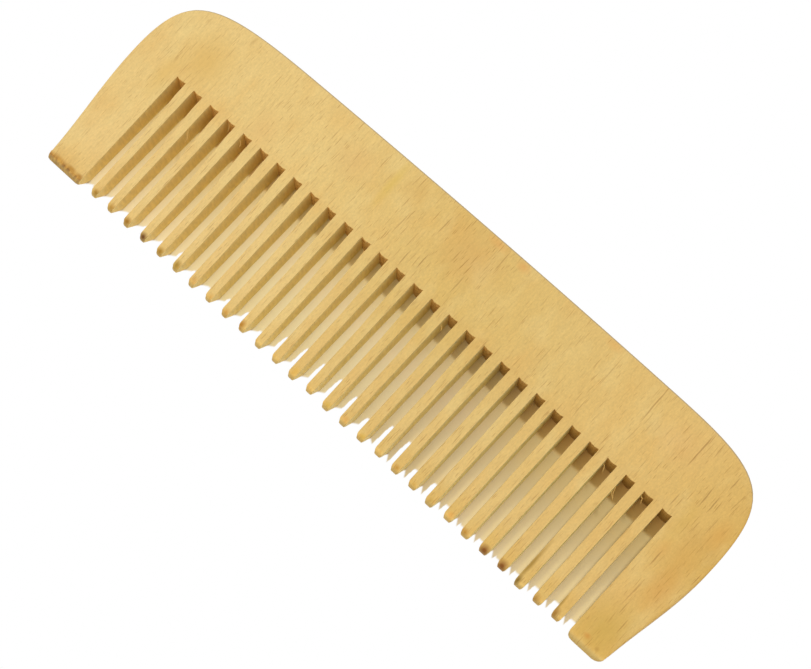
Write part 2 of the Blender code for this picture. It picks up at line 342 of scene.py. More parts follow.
def spine_in_layers(x, kerf_ends, left_line, back_line, right_line):
    """The rows of the spine in every layer, blended from the kerf ends, s = 0, to the back, s = 1. Near
    the two sides each point is moved by the bow of that side's line from its chord, which fades away
    from the side as (1-u)^BOW_POWER.

    The rim is smooth where side and back meet, so the points inside it are pushed inward there, by
    2ab / (a+b) e^(-(a+b)/CORNER_FADE) for a point a along the back and b down the side."""
    along_back = (x - x[0]) / (x[-1] - x[0])
    top = along(back_line, along_back)
    s = SPINE_ROWS[None, :, None, None]
    u = along_back[None, None, :, None]
    rows = (1 - s) * kerf_ends[:, None] + s * top[None, None]
    for line, nearness in ((left_line, (1 - u) ** BOW_POWER), (right_line, u ** BOW_POWER)):
        foot = np.array([np.interp(ROOT_Y, line[:, 1], line[:, 0]), ROOT_Y])
        side = along(np.vstack([[foot], line[line[:, 1] > ROOT_Y]]), SPINE_ROWS)
        bow = side - ((1 - SPINE_ROWS[:, None]) * foot + SPINE_ROWS[:, None] * side[-1])
        rows = rows + nearness * bow[None, :, None]
    for share, way in ((u, (1, -1)), (1 - u, (-1, -1))):
        # never quite 0, because b is 0 at the back
        a = share * BACK_RUN + 1e-9
        b = (1 - s) * SIDE_RUN
        inward = 2 * a * b / (a + b) * np.exp(-(a + b) / CORNER_FADE)
        rows = rows + inward * np.array(way) * np.sqrt(0.5)
    height = (LAYERS[:, None, None] + 1) / 2
    return np.concatenate([rows, (height * face_height(rows[..., 1]))[..., None]], -1)


def comb_lattice():
    """Points of the board as layers, rows and columns, and the table of cells that are wood: all but
    those between two teeth."""
    x, place, block = columns()
    left_line, back_line, right_line = outline_parts()
    tip, root = tip_and_root(x, place, block)
    plan_x, y = teeth_from_above(x, place, block, tip, root, left_line, right_line)
    teeth = teeth_in_layers(plan_x, y, place, block, tip, root)
    spine = spine_in_layers(x, teeth[:, -1, :, :2], left_line, back_line, right_line)
    points = np.concatenate([teeth, spine], 1)
    points[..., 0] += TEETH_X
    wood = np.ones((points.shape[1] - 1, points.shape[2] - 1), bool)
    in_kerf = (block[:-1] < 0) | (block[:-1] != block[1:])
    wood[:len(TOOTH_ROWS) - 1, in_kerf] = False
    return points, wood


def shell(points, wood):
    """Skin of the wooden cells: the two faces, and a wall wherever a wooden cell meets an empty one,
    first the walls that run with the teeth and then those that run across."""
    number = np.arange(points[..., 0].size).reshape(points.shape[:3])
    cell = np.stack([number[:, :-1, :-1], number[:, :-1, 1:], number[:, 1:, 1:], number[:, 1:, :-1]], -1)
    quads = [cell[-1][wood], cell[0][wood][:, ::-1]]
    around = np.pad(wood, 1)
    left, right = around[1:-1, :-1], around[1:-1, 1:]
    wall = np.stack([number[:-1, :-1], number[:-1, 1:], number[1:, 1:], number[1:, :-1]], -1)
    quads += [wall[:, right & ~left][..., ::-1], wall[:, left & ~right]]
    front, behind = around[:-1, 1:-1], around[1:, 1:-1]
    wall = np.stack([number[:-1, :, :-1], number[:-1, :, 1:], number[1:, :, 1:], number[1:, :, :-1]], -1)
    quads += [wall[:, behind & ~front], wall[:, front & ~behind][..., ::-1]]
    faces = np.concatenate([quad.reshape(-1, 4) for quad in quads])
    used, faces = np.unique(faces, return_inverse=True)
    return points.reshape(-1, 3)[used], faces.reshape(-1, 4), used


def new_piece(name, points, faces, material):
    """A mesh from arrays of points in millimetres and faces, standing in the comb's own frame."""
    mesh = bpy.data.meshes.new(name)
    mesh.from_pydata(np.asarray(points) * MM, [], np.asarray(faces).tolist())
    mesh.materials.append(material)
    piece = bpy.data.objects.new(name, mesh)
    bpy.context.scene.collection.objects.link(piece)
    return piece


def edge_eases(mesh, points, wood, used, shape):
    """How much each edge of the board is eased, as a share of the bevel's width: the whole of it round
    the rim, less at the kerfs, nothing along the tips, which are rolled, nor on upright edges. It is
    kept narrower than the first layer is high, so that the eased edge never folds over."""
    layers, rows, cols = shape
    layer, row, col = np.unravel_index(used, shape)
    around = np.pad(wood, 1).astype(int)
    around = around[:-1, :-1] + around[1:, :-1] + around[:-1, 1:] + around[1:, 1:]
    border = (around < 4)[row, col] & ((layer == 0) | (layer == layers - 1))
    rim = border & ((col == 0) | (col == cols - 1) | (row == rows - 1))
    y = points[:, 1]
    on_rim = np.clip((y - GUARD_TIP_Y) / GUARD_NOSE - 1, 0, 1)
    on_rim *= np.clip(face_height(y) / EASE_HEIGHT, 0, 1)
    at_kerf = KERF_EASE_SHARE + TIP_EASE_SHARE * np.interp(y, TIP_EASE_Y, (1, 0))
    at_kerf *= np.interp(y - TOOTH_TIP_Y, TIP_CLEAR, (0, 1))
    ease = np.where(rim, on_rim, np.where(border, at_kerf, 0.0))
    ends = np.empty(len(mesh.edges) * 2, int)
    mesh.edges.foreach_get("vertices", ends)
    a, b = ends.reshape(-1, 2).T
    plain = (row[a] == 0) & (row[b] == 0) | (layer[a] != layer[b])
    return np.where(plain, 0.0, np.minimum(ease[a], ease[b]))


def comb_board(material):
    """The whole comb, with its rim and the edges of its kerfs eased."""
    lattice, wood = comb_lattice()
    points, faces, used = shell(lattice, wood)
    piece = new_piece("comb_board", points, faces, material)
    mesh = piece.data
    mesh.shade_smooth()
    weights = edge_eases(mesh, points, wood, used, lattice.shape[:3])
    mesh.attributes.new("bevel_weight_edge", "FLOAT", "EDGE").data.foreach_set("value", weights)
    mesh.set_sharp_from_angle(angle=SHARP_ANGLE)
    bevel = piece.modifiers.new("eased_edges", "BEVEL")
    bevel.width = RIM_EASE * MM
    bevel.segments = 3
    bevel.limit_method = "WEIGHT"
    bevel.use_clamp_overlap = False
    bevel.harden_normals = True
    return piece


# A direction that no fibre runs along, for standing the rings up
RING_UP = (0.13, 0.2, 1.0)


def tube(path, radius, stations=24, sides=8, smoothings=6):
    """Round thread along a smoothed path of points, thinned to nothing at its ends: each ring stands
    square to the path, with a radius that follows sqrt(sin(pi t)) over the path's share t."""
    path = np.array(path, float)
    t = np.linspace(0, 1, stations)
    knots = np.linspace(0, 1, len(path))
    bend = np.stack([np.interp(t, knots, path[:, k]) for k in range(3)], -1)
    for _ in range(smoothings):
        bend[1:-1] = (bend[:-2] + 2 * bend[1:-1] + bend[2:]) / 4
    ahead = np.gradient(bend, axis=0)
    ahead /= np.linalg.norm(ahead, axis=1, keepdims=True)
    side = np.cross(ahead, RING_UP)
    side /= np.linalg.norm(side, axis=1, keepdims=True)
    over = np.cross(side, ahead)
    turn = np.linspace(0, 2 * np.pi, sides, endpoint=False)[None, :, None]
    girth = radius * np.sqrt(np.clip(np.sin(np.pi * t), 0.01, 1))[:, None, None]
    rings = bend[:, None] + girth * (np.cos(turn) * side[:, None] + np.sin(turn) * over[:, None])
    number = np.arange(rings.shape[0] * sides).reshape(-1, sides)
    after = np.roll(number, -1, axis=1)
    faces = np.stack([number[:-1], number[1:], after[1:], after[:-1]], -1).reshape(-1, 4)
    return rings.reshape(-1, 3), faces


def torn_fibres(material):
    """Curled fibres of the wood that the saw left hanging in a few kerfs."""
    parts = [tube(path, radius) for radius, path in FIBRES]
    starts = np.cumsum([0] + [len(points) for points, _ in parts[:-1]])
    points = np.concatenate([points for points, _ in parts])
    faces = np.concatenate([faces + start for start, (_, faces) in zip(starts, parts)])
    piece = new_piece("torn_fibres", points, faces, material)
    piece.data.shade_smooth()
    return piece


def linear(code):
    """sRGB hex colour to linear red, green, blue and alpha."""
    c = np.array([int(code[i:i + 2], 16) for i in (1, 3, 5)]) / 255
    c = np.where(c <= 0.04045, c / 12.92, ((c + 0.055) / 1.055) ** 2.4)
    return (*c.tolist(), 1.0)


def node(tree, kind, *values, output=None, stops=(), **named):
    """Adds a shader node and returns one of its outputs, the first unless another is named. The values
    fill the node's inputs in their order. A named value goes to the input of that name, or else it is a
    setting. A value may be the output of another node. Stops are a colour ramp's places and colours."""
    made = tree.nodes.new("ShaderNode" + kind)
    for name in [name for name in named if name not in made.inputs]:
        setattr(made, name, named.pop(name))
    filled = list(zip([socket for socket in made.inputs if socket.enabled], values))
    filled += [(made.inputs[name], value) for name, value in named.items()]
    for socket, value in filled:
        if isinstance(value, bpy.types.NodeSocket):
            tree.links.new(value, socket)
        else:
            socket.default_value = value
    for index, (place, code) in enumerate(stops):
        if index > 1:
            made.color_ramp.elements.new(place)
        made.color_ramp.elements[index].position = place
        made.color_ramp.elements[index].color = linear(code)
    return made.outputs[output] if output else [socket for socket in made.outputs if socket.enabled][0]


def new_material(name, shine):
    """A material with its plain surface node: the material, its node tree and that node."""
    material = bpy.data.materials.new(name)
    material.use_nodes = True
    surface = material.node_tree.nodes["Principled BSDF"]
    surface.inputs["Specular IOR Level"].default_value = shine
    return material, material.node_tree, surface


# Colour of the face along the comb, in shares of its length from the left, from straw to honey
FACE_COLOURS = [
    (0.0, "#E9C77F"), (0.3, "#E7C57B"), (0.5, "#DCB767"), (0.68, "#DFBC70"), (0.86, "#E0B96C"),
    (1.0, "#D8AE5A")]

# Ends of the colour ramps along the comb, and the fade from the spine to the teeth along Y
RAMP_X = (-75, 75)
TEETH_END_Y = (7.5, 6.5)

# Patterns of the wood: size of their cells across, along and through the board in millimetres, detail
# and roughness. Most of a pattern's values lie in the usual range
USUAL = (0.3, 0.7)
WOOD_PATTERNS = {
    "drift": ((26, 40, 30), 2, 0.5),
    "honey": ((7, 12, 7), 3, 0.5),
    "straw": ((5, 9, 5), 3, 0.5),
    "streaks": ((0.45, 6, 0.45), 3, 0.5),
    "mottle": ((0.3, 0.55, 0.3), 2, 0.7),
    "pores": ((0.5, 2.5, 0.5), 3, 0.5),
    "crowding": ((9, 12, 9), 2, 0.5),
    "saw_strokes": ((1, 0.6, 3), 3, 0.5),
}

# Ray flecks: size of their cells in millimetres, and a shift of the pattern. A fleck takes up the
# middle half of its cell
FLECKS = [((0.34, 5.8, 3.5), 0), ((0.24, 2.6, 2.5), 7)]

# Marks on the wood: x, y, half length across and along the grain, turn in degrees, strength, colour
MARKS = [
    # soft golden clouds
    (-62.0, 11.5, 6.5, 7.5, 0, 0.55, "#DDB059"), (-66.5, 4.5, 2.5, 7.0, 0, 0.5, "#DFB45E"),
    (-44.0, 9.0, 4.0, 5.0, 20, 0.3, "#E0AE66"), (-26.0, 16.0, 6.0, 5.0, 0, 0.3, "#DFAE68"),
    (-17.8, 17.5, 1.3, 7.0, 0, 0.45, "#DDB84C"), (-13.0, 19.0, 3.5, 4.0, 0, 0.3, "#D4A24E"),
    (3.0, 17.0, 9.0, 7.0, 0, 0.35, "#D8A65C"), (5.5, 22.3, 3.2, 1.4, 0, 0.45, "#E3A14C"),
    (12.0, 22.0, 1.8, 1.4, 0, 0.45, "#E09A4C"), (34.5, 22.2, 2.4, 1.3, 0, 0.35, "#E0A24E"),
    (55.5, 16.5, 7.0, 5.0, 0, 0.25, "#DDAA66"), (70.0, 0.0, 3.6, 9.0, 0, 0.42, "#D29E46"),
    (70.5, -6.0, 3.4, 6.0, 0, 0.45, "#D69A44"), (72.0, 8.5, 2.6, 4.0, 0, 0.45, "#DBA046"),
    (65.5, 6.0, 2.2, 6.0, 0, 0.4, "#D5AC50"), (66.0, 0.0, 1.6, 3.0, 0, 0.35, "#D9A04C"),
    (67.5, -17.5, 6.5, 7.0, 0, 0.55, "#CBA548"), (63.0, -9.0, 1.0, 12.0, 0, 0.25, "#D5A04C"),
    # long pores
    (47.4, 19.0, 0.17, 5.2, 1, 0.6, "#A87B3C"), (47.8, 12.0, 0.13, 3.0, -3, 0.35, "#A87B3C"),
    (59.2, 18.3, 0.17, 4.6, 0, 0.6, "#A0743A"), (61.8, 20.5, 0.15, 2.4, 3, 0.5, "#A87B3C"),
    (65.5, 12.5, 0.16, 3.0, 1, 0.55, "#9A6E34"), (67.4, 12.2, 0.14, 2.3, 0, 0.6, "#9A6E34"),
    (67.8, 17.5, 0.14, 1.9, 0, 0.55, "#A0743A"), (37.2, 18.0, 0.13, 4.6, 1, 0.35, "#A87B3C"),
    (37.5, 9.5, 0.13, 3.0, 2, 0.4, "#A87B3C"), (26.1, 12.0, 0.13, 3.4, 0, 0.3, "#A87B3C"),
    (-3.1, 10.2, 0.15, 2.3, 0, 0.55, "#9A6E34"), (-6.2, 8.4, 0.15, 2.3, 2, 0.5, "#9A6E34"),
    (-4.7, 18.0, 0.15, 2.4, 0, 0.5, "#9A6E34"), (8.2, 20.0, 0.15, 3.0, 0, 0.4, "#9A6E34"),
    (4.8, 11.2, 0.15, 2.6, 1, 0.45, "#A0743A"), (-11.3, 13.0, 0.14, 3.2, -2, 0.4, "#A0743A"),
    (66.1, -2.0, 0.15, 2.3, 0, 0.55, "#9A6A30"), (67.1, -9.5, 0.14, 3.6, 0, 0.4, "#A0703A"),
    (67.8, -12.6, 0.13, 1.6, 0, 0.45, "#9A6A30"), (69.8, -15.2, 0.13, 1.9, 1, 0.5, "#9A6A30"),
    (70.5, 15.0, 0.12, 2.4, -3, 0.4, "#A87B3C"), (69.8, 9.0, 0.12, 2.6, 0, 0.4, "#A0743A"),
    (61.6, 8.2, 0.14, 1.8, 0, 0.5, "#A0743A"), (-57.6, 20.5, 0.5, 1.6, -6, 0.35, "#B98B45"),
    # scorched sides of two teeth, and dark tips
    (50.15, -18.0, 0.6, 7.0, -1, 0.75, "#9A741A"), (50.3, -21.9, 0.75, 1.4, 0, 0.9, "#84620E"),
    (59.0, -19.5, 0.4, 3.0, 0, 0.6, "#98741E"), (59.3, -21.7, 1.1, 1.5, 0, 0.85, "#A06C1A"),
    (42.1, -22.0, 1.7, 1.4, 0, 0.95, "#8A4E0A"), (46.4, -21.9, 1.6, 1.6, 0, 0.95, "#8A4E0A"),
    (54.8, -22.0, 1.2, 1.3, 0, 0.7, "#B07E2C"), (37.2, -21.9, 0.95, 0.9, 0, 0.7, "#B87C16"),
    (33.1, -21.5, 0.9, 0.9, 0, 0.5, "#EEA444"), (28.6, -21.9, 1.0, 0.8, 0, 0.5, "#C09A3E"),
    (24.2, -21.9, 1.0, 0.8, 0, 0.4, "#D0A644"), (19.8, -21.6, 0.8, 0.8, 0, 0.75, "#C48C28"),
    (2.2, -21.8, 1.0, 0.8, 0, 0.6, "#D4AC38"), (6.4, -21.5, 0.9, 0.9, 0, 0.5, "#E6A64C"),
    (11.0, -21.7, 0.9, 0.9, 0, 0.6, "#D6AE3E"), (-6.9, -21.3, 1.1, 1.4, 0, 0.6, "#E8B23C"),
    (-20.8, -21.6, 1.0, 1.3, 0, 0.9, "#BC7E1C"), (-24.7, -21.9, 1.1, 1.2, 0, 0.6, "#CE9238"),
    (-29.0, -21.6, 0.85, 0.9, 0, 0.5, "#DEA850"), (-33.8, -21.5, 0.9, 0.9, 0, 0.6, "#D69E4A"),
    (-38.3, -21.6, 1.1, 1.3, 0, 0.85, "#A67E1C"), (-42.6, -21.8, 1.1, 1.1, 0, 0.9, "#AC7E1E"),
    (-47.1, -21.9, 1.3, 1.2, 0, 0.95, "#6E3C08"), (-51.6, -21.9, 1.2, 1.1, 0, 0.95, "#A8741A"),
    (-55.9, -21.8, 1.2, 1.0, 0, 0.75, "#BA8830"), (-60.2, -21.8, 1.2, 0.9, 0, 0.9, "#A87A20"),
    (-70.6, -21.7, 2.3, 0.6, 0, 0.65, "#C48E38"), (-67.3, -21.6, 1.7, 0.6, 0, 0.75, "#B8801E"),
    (-65.0, -21.6, 1.0, 0.6, 0, 0.75, "#B0761C"), (66.3, -20.8, 1.0, 0.7, 0, 0.6, "#D08A34"),
    (69.2, -21.3, 0.6, 0.6, 30, 0.45, "#A87A30"),
]


def wood_places(add):
    """What the patterns of the wood follow: millimetres in the comb's own frame, each axis of them
    alone, how squarely the surface faces along X, how squarely it faces the tips, whether it lies by
    the teeth, and the noises."""
    mm = add("Mapping", Vector=add("TexCoord", output="Object"), Scale=[1 / MM] * 3)
    x, y, z = (add("SeparateXYZ", mm, output=axis) for axis in "XYZ")
    facing = add("TexCoord", output="Normal")
    sideways = add("Math", add("SeparateXYZ", facing, output="X"), operation="ABSOLUTE")
    tipwards = add("Math", add("SeparateXYZ", facing, output="Y"), -1, operation="MULTIPLY")
    by_teeth = add("MapRange", y, *TEETH_END_Y, 0, 1)
    noise = {}
    for name, (size, detail, roughness) in WOOD_PATTERNS.items():
        stretched = add("Mapping", Vector=mm, Scale=[1 / length for length in size])
        noise[name] = add("TexNoise", stretched, 1, detail, roughness)
    return SimpleNamespace(
        mm=mm, x=x, y=y, z=z, sideways=sideways, tipwards=tipwards, by_teeth=by_teeth, **noise)


def face_tone(add, at):
    """Colour of the planed face. It drifts along the board from pale straw on the left to deeper honey
    on the right, is paler on the teeth, golden towards their tips, and has soft clouds of both tones."""
    drift = add("MapRange", at.drift, *USUAL, -9, 9)
    wander = add("Math", at.x, drift, operation="ADD")
    tone = add("ValToRGB", add("MapRange", wander, *RAMP_X, 0, 1), stops=FACE_COLOURS)
    on_teeth = add("MapRange", at.y, 2, -14, 0, 1)
    paler = add("Math", on_teeth, add("MapRange", at.x, 0, 40, 0.35, 0.12), operation="MULTIPLY")
    at_tips = add("MapRange", at.y, -15.5, -21.5, 0, 1)
    golden = add("Math", at_tips, add("MapRange", at.x, 0, 45, 0.3, 0.7), operation="MULTIPLY")
    honey_cloud = add("MapRange", at.honey, 0.5, 0.75, 0, 0.4)
    straw_cloud = add("MapRange", at.straw, 0.5, 0.28, 0, 0.35)
    layers = ((paler, "#F0CC86"), (golden, "#D8AC4E"), (honey_cloud, "#DFAE5C"), (straw_cloud, "#EBD08A"))
    for strength, code in layers:
        tone = add("Mix", strength, tone, linear(code), data_type="RGBA")
    return tone


def end_grain(add, at, tone):
    """End grain, where the wood faces the tips. The left guard's is thirsty: it goes dark, and its pores
    show. The other tips stay golden, partly their own tone and partly painted light that offsets the shade on
    their rolled noses, and all are painted greyer at the very end as shade on the roll. In the kerf ends the
    grain is paler on the left, and painted darker towards the underside as shade deep in the kerfs."""
    end = add("Math", add("MapRange", at.tipwards, 0.06, 0.34, 0, 1), at.by_teeth, operation="MULTIPLY")
    at_tip = add("Math", end, add("MapRange", at.y, -19, -21, 0, 1), operation="MULTIPLY")
    at_root = add("Math", end, add("MapRange", at.y, 3, 4, 0, 1), operation="MULTIPLY")

    thirsty = add("ValToRGB", at.pores, stops=[(0.34, "#E2AC48"), (0.5, "#BC7E28"), (0.66, "#8A5412")])
    # The ordinary tips' end grain is golden, partly its own tone and partly painted light that offsets the
    # shade on their rolled noses
    golden = add("ValToRGB", at.pores, stops=[(0.3, "#FAD47E"), (0.7, "#E8B65E")])
    past_guard = add("MapRange", at.x, -64.5, -64, 0, 1)
    # Painted shade: the last of each tip, where the nose rolls under, is greyed as shade
    very_end = add("MapRange", at.y, -21.9, -22.6, 0, 0.55)
    tip_end = add("Mix", past_guard, thirsty, golden, data_type="RGBA")
    tip_end = add("Mix", very_end, tip_end, linear("#C2AC70"), data_type="RGBA")

    kerf_end = add("ValToRGB", at.pores, stops=[(0.36, "#F2C878"), (0.52, "#E2AC5C"), (0.66, "#B07C34")])
    brightness = add("MapRange", at.x, -60, 50, 1.15, 0.8)
    kerf_end = add("VectorMath", kerf_end, brightness, operation="SCALE")
    browner = add("MapRange", at.x, -10, 50, 0.1, 0.4)
    kerf_end = add("Mix", browner, kerf_end, linear("#BE8A3A"), data_type="RGBA")

    tone = add("Mix", at_tip, tone, tip_end, data_type="RGBA")
    strength = add("Math", at_root, 0.9, operation="MULTIPLY")
    tone = add("Mix", strength, tone, kerf_end, data_type="RGBA")
    # Painted shade: the kerf ends grow darker towards the underside, deep in the kerf where less light
    # reaches
    kerf_end_shade = add("Math", at_root, add("MapRange", at.z, 5.5, 1.5, 0, 1), operation="MULTIPLY")
    darkest = add("MapRange", at.x, -20, 30, 0.85, 0.65)
    return add("VectorMath", tone, add("MapRange", kerf_end_shade, 0, 1, 1, darkest), operation="SCALE")


def placed_marks(add, bent, tone):
    """Clouds, long pores and scorched tips, each a round or oval spot at its own place. The finest are
    solid over their inner half, and the others fade almost from their middle."""
    for x, y, across, lengthwise, turn, strength, code in MARKS:
        nearness = add("TexGradient", bent, output="Fac", gradient_type="SPHERICAL")
        spot = nearness.node.texture_mapping
        spot.vector_type = "TEXTURE"
        spot.translation = (x, y, 0)
        spot.rotation = (0, 0, radians(turn))
        spot.scale = (across, lengthwise, 1e4)
        solid_at = 0.5 if min(across, lengthwise) < 0.3 else 0.85
        strength = add("MapRange", nearness, 0, solid_at, 0, strength)
        tone = add("Mix", strength, tone, linear(code), data_type="RGBA")
    return tone


def ray_flecks(add, bent):
    """Short flecks that run with the grain, about 0.15 mm wide and up to 3.5 mm long. Each is the middle
    of one cell in a stretched pattern, and some cells have none."""
    flecks = 0.0
    for size, shift in FLECKS:
        stretched = add("Mapping", Vector=bent, Location=[shift] * 3, Scale=[1 / length for length in size])
        away = add("TexVoronoi", Vector=stretched, Scale=1)
        chance = add("SeparateColor", add("TexVoronoi", Vector=stretched, Scale=1, output="Color"))
        core = add("MapRange", away, 0.3, 0.14, 0, 1)
        here = add("Math", core, add("MapRange", chance, 0.3, 1.0, 0, 1), operation="MULTIPLY")
        flecks = add("Math", flecks, here, operation="MAXIMUM")
    return flecks


def sawn_walls(add, at, tone):
    """Kerf walls, left as the saw cut them: paler than the face, partly as bare sawn wood and partly as
    painted light that stands in for light reaching deep into the kerfs.
    """
    from_middle = add("Math", at.x, operation="ABSOLUTE")
    between_guards = add("Math", from_middle, 65.0, operation="LESS_THAN")
    wall = add("Math", add("MapRange", at.sideways, 0.8, 0.95, 0, 1), between_guards, operation="MULTIPLY")
    sawn = add("Math", wall, at.by_teeth, operation="MULTIPLY")
    along_comb = add("MapRange", at.x, *RAMP_X, 0, 1)
    # Partly bare sawn beech, partly painted light: the walls are paler to stand in for light reaching deep
    # into the kerfs
    sawn_and_lit_tone = add("ValToRGB", along_comb, stops=[(0.1, "#F9DE94"), (0.45, "#FDE7A0"), (0.8, "#FFF2B8")])
    strokes = add("MapRange", at.saw_strokes, *USUAL, 0.9, 1.08)
    rough_cut = add("VectorMath", sawn_and_lit_tone, strokes, operation="SCALE")
    return add("Mix", sawn, tone, rough_cut, data_type="RGBA")


def painted_rim_shade(add, at, tone):
    """The edge of the back, painted grey as shade on the eased rim where it turns away from the light."""
    facing_back = add("MapRange", at.tipwards, -0.15, -0.5, 0, 1)
    rim = add("Math", facing_back, add("MapRange", at.y, 12, 18, 0, 1), operation="MULTIPLY")
    # Painted shade: the eased back rim is greyed where it turns away from the light
    strength = add("Math", rim, 0.6, operation="MULTIPLY")
    return add("Mix", strength, tone, linear("#9C9078"), data_type="RGBA")


def beech():
    """Beech, planed and sanded, with no varnish: warm straw colour that drifts across the board, short brown
    ray flecks that run with the grain, and darker, thirstier end grain at tips and kerf ends. Painted shade
    darkens the kerf ends towards the underside, the very ends of the tips and the back rim, and painted light
    pales the kerf walls and the tips' end grain."""
    material, tree, surface = new_material("beech_sanded", shine=0.3)
    surface.inputs["IOR"].default_value = 1.5
    add = partial(node, tree)
    at = wood_places(add)
    # the grain wanders by up to a quarter of a millimetre
    wander = add("TexNoise", at.mm, 0.16, 2, output="Color")
    wander = add("VectorMath", wander, (0.5, 0.5, 0.5), operation="SUBTRACT")
    bent = add("VectorMath", wander, (0.55, 0.55, 0), at.mm, operation="MULTIPLY_ADD")
    # streaks along Y, and a mottle as fine as the pores
    streaks = add("MapRange", at.streaks, *USUAL, 0.965, 1.035)
    mottle = add("MapRange", at.mottle, *USUAL, 0.93, 1.065)
    grain = add("Math", streaks, mottle, operation="MULTIPLY")

    tone = add("VectorMath", face_tone(add, at), grain, operation="SCALE")
    tone = end_grain(add, at, tone)
    tone = placed_marks(add, bent, tone)
    flecks = ray_flecks(add, bent)
    crowding = add("MapRange", at.crowding, 0.35, 0.6, 0.5, 0.9)
    crowding = add("Math", crowding, add("MapRange", at.x, -70, -20, 0.6, 0.85), operation="MULTIPLY")
    strength = add("Math", flecks, crowding, operation="MULTIPLY")
    tone = add("Mix", strength, tone, linear("#A9793A"), data_type="RGBA")
    tone = painted_rim_shade(add, at, sawn_walls(add, at, tone))

    tree.links.new(tone, surface.inputs["Base Color"])
    tree.links.new(add("MapRange", flecks, 0, 1, 0.58, 0.72), surface.inputs["Roughness"])
    bump = add("Bump", Height=grain, Strength=0.3, Distance=0.2 * MM)
    tree.links.new(bump, surface.inputs["Normal"])
    return material


def pale_fibre():
    """Torn beech fibre: bare, pale and matt, so that it stands out from the shaded wood behind it."""
    material, _, surface = new_material("beech_fibre", shine=0.2)
    surface.inputs["Base Color"].default_value = linear("#DCB266")
    surface.inputs["Roughness"].default_value = 0.8
    return material


# The table's tone, with painted shade and light, shows in the kerfs. At their mouths plain white reaches up
# to these places along Y
WHITE_UP_TO = [
    -21, -20, -20.5, -20, -20, -19, -20, -20.5, -19.5, -19,
    -20, -17.5, -16.5, -16.5, -16.5, -17, -18.5, -16.5, -16.5, -19.5,
    -19, -20.5, -21.5, -21, -21.5, -21, -20.5, -20, -20.5]
USUAL_WHITE = -20.5
# That height is reached on the right of a mouth. The curve before it, the share of the rise to it and
# the share of the tongue that hangs down beside it each run over the place across the kerf, from 0 at
# its left wall to 1 at its right. The tongue is a millimetre longer with each kerf past this number, up
# to this length
MOUTH_CURVE = ([-0.4, 0, 0.3, 0.38], [-21.7, -21.0, -20.6, USUAL_WHITE])
RISE_SHARES = ([0.38, 0.43, 0.55], [0, 0.6, 1])
TONGUE_SHARES = ([0, 0.34, 0.46], [0, 1, 0])
TONGUE_FROM = 16
TONGUE_LENGTH = 1.7
# The white reaches this much less far in the first kerf
FIRST_MOUTH_DROP = 0.5
# The white ends over this width, and the table is all white beyond the kerfs at the sides and the back,
# with a fade of its own at each
WHITE_EDGE = 0.4
OPEN_X = 65.2
OPEN_Y = 8
SIDE_FADE = 0.5
BACK_FADE = 1
TABLE_HALF = 1500
# The tips stand above the table, so the camera sees the white's edge lower than it lies: by this share
# of the edge's way from the camera, which is at about this place along Y
SIGHT_SHARE = 0.0135
SIGHT_Y = -50
# The paler right side of a mouth, painted light on the table, over the place across the kerf. It grows
# towards the tips from this place along Y, over this length, and from kerf to kerf past this number, over
# this many kerfs
PALE_SHARES = ([0.35, 0.7], [0, 1])
PALE_FROM_Y = -9
PALE_LENGTH = 6
PALE_FROM = 14
PALE_KERFS = 4
# The table's grid is fine round the mouths: from where to where along X and Y, and in which steps. A
# kerf's own stretch of it starts this far to the left of the kerf
FINE_X = (-65, 65)
STEP_X = 0.13
FINE_Y = (-23.4, -15)
STEP_Y = 0.15
FRONT_ROW = -24
KERF_LEAD = 1.1

# Tones of the table down the kerfs, in shares of the way from their ends to their mouths along Y. They are
# painted shade and light: the kerfs on the right and left are warmer and darker at their ends, where the kerf
# ends' shadow falls, with a step at the shadow's edge and the wood's warm glow painted in; those in the
# middle stay pale, with painted light lifting their shade
KERF_RUN_Y = (6, -22)
# The middle kerfs lie round this place along X. They give way to the outer ones between two distances
MIDDLE_X = -5.0
MIDDLE_FADE = (40, 26)
OUTER_KERFS = [
    (0.0, "#FFDA9A"), (0.16, "#FCE6B2"), (0.19, "#FDF6D6"), (0.33, "#FDF6DA"), (0.5, "#FCF9EA"),
    (0.65, "#FEFCF2"), (1.0, "#FFFFFF")]
MIDDLE_KERFS = [
    (0.0, "#FFF6D2"), (0.15, "#FFF6D6"), (0.2, "#FFFBE8"), (0.39, "#FFFCF5"), (0.64, "#FAFBF5"),
    (0.86, "#F5F4EA")]
# The card's cream tone along the comb. Its darkening towards the right is painted shade
ALONG_COMB = [(0.1, "#F8ECC6"), (0.35, "#F8EDC8"), (0.5, "#F3E8C8"), (0.62, "#E0D0AF"), (0.9, "#DECEAD")]


